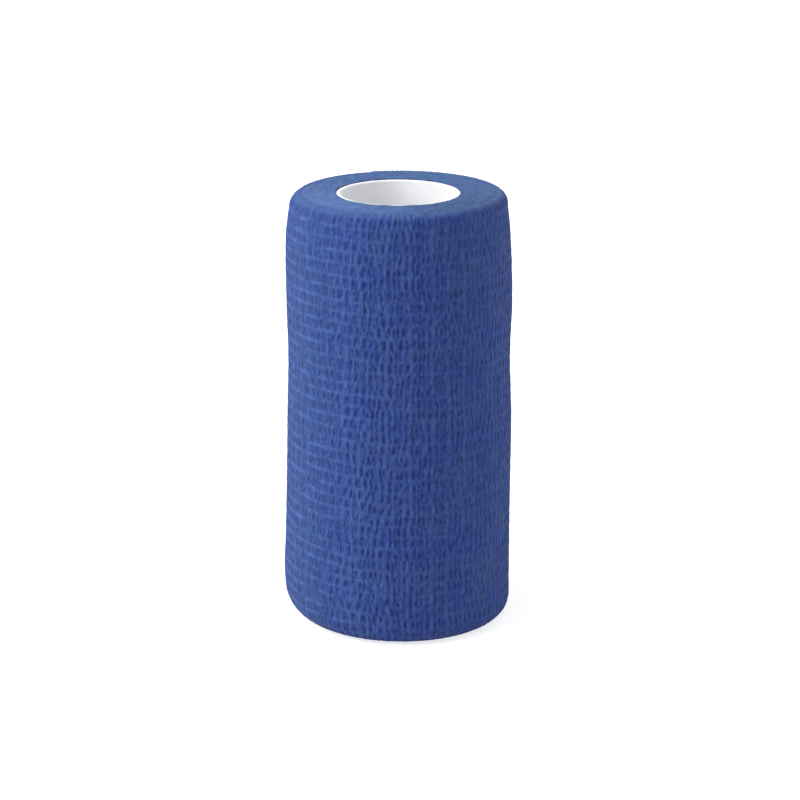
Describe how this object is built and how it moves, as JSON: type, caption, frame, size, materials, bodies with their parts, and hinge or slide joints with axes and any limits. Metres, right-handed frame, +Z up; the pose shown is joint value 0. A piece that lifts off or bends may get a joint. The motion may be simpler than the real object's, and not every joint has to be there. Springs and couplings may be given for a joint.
{
  "type": "cohesive bandage roll",
  "caption": "Roll of self-adhering elastic crepe bandage wound on an open plastic core tube, standing on its end.",
  "frame": {"origin": "on the core tube's axis, at the surface that the roll stands on", "axes": "+Z runs up along the roll's axis, -Y faces the viewer, +X is the viewer's right; the cloth's cut end is at the back"},
  "size_m": [0.0526, 0.0529, 0.1],
  "materials": {
    "crepe_cloth": "matt blue crinkled crepe with a soft fibre bloom",
    "core_plastic": "white, smooth, low gloss"
  },
  "bodies": {
    "root": {"bandage_roll": "crepe_cloth", "core_tube": "core_plastic"}
  },
  "joints": []
}
